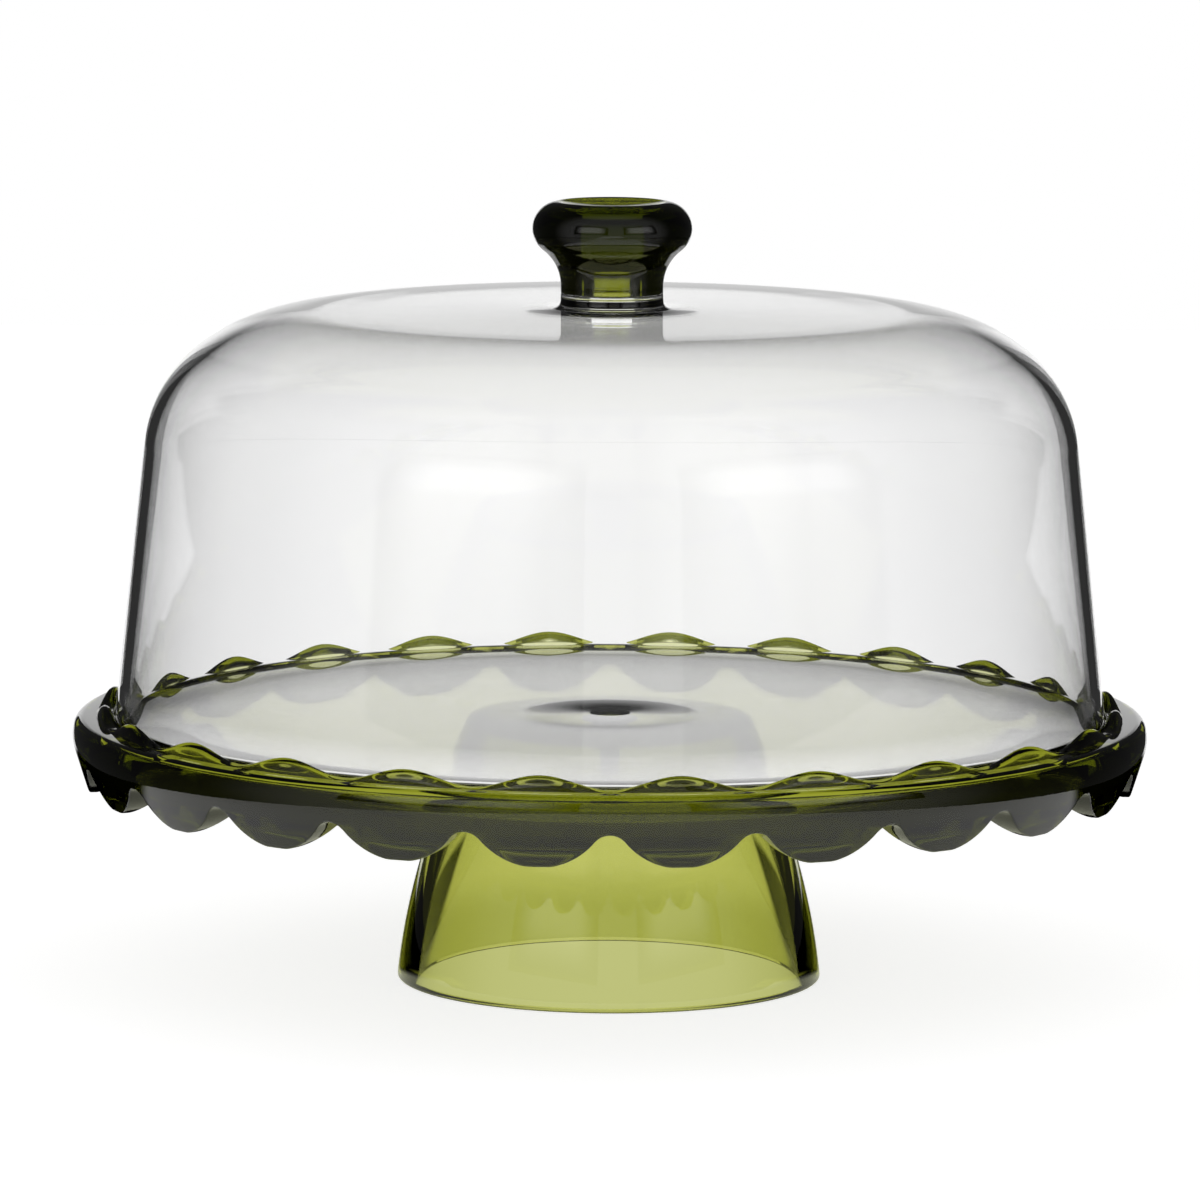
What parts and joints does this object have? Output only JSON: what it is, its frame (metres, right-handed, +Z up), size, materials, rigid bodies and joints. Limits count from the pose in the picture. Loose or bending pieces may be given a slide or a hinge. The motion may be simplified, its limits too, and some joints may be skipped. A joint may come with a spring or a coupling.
{
  "type": "cake stand with dome",
  "caption": "Footed cake stand with a scalloped green plate, a clear tray and a clear lift-off dome with a green knob, for showing and keeping a cake covered.",
  "frame": {"origin": "centre of the circle on which the foot stands, on the floor", "axes": "+Z up along the axis of the foot, plate and dome; a notch of the scalloped rim faces -Y, the front"},
  "size_m": [0.33, 0.33, 0.2398],
  "materials": {
    "green_acrylic": "transparent olive green moulded acrylic, polished",
    "clear_acrylic": "clear moulded acrylic, polished",
    "dark_nylon": "moulded dark nylon, satin"
  },
  "bodies": {
    "stand": {"foot": "green_acrylic", "plate": "green_acrylic", "clamp_screw": "dark_nylon", "clamp_washer": "dark_nylon", "clamp_nut": "dark_nylon"},
    "tray": {"tray": "clear_acrylic"},
    "cover": {"dome": "clear_acrylic", "knob": "green_acrylic"}
  },
  "joints": [
    {"name": "tray_lift", "type": "slide", "parent": "stand", "child": "tray", "axis": [0, 0, 1], "range_m": [0, 0.04]},
    {"name": "dome_lift", "type": "slide", "parent": "tray", "child": "cover", "axis": [0, 0, 1], "range_m": [0, 0.16]}
  ]
}
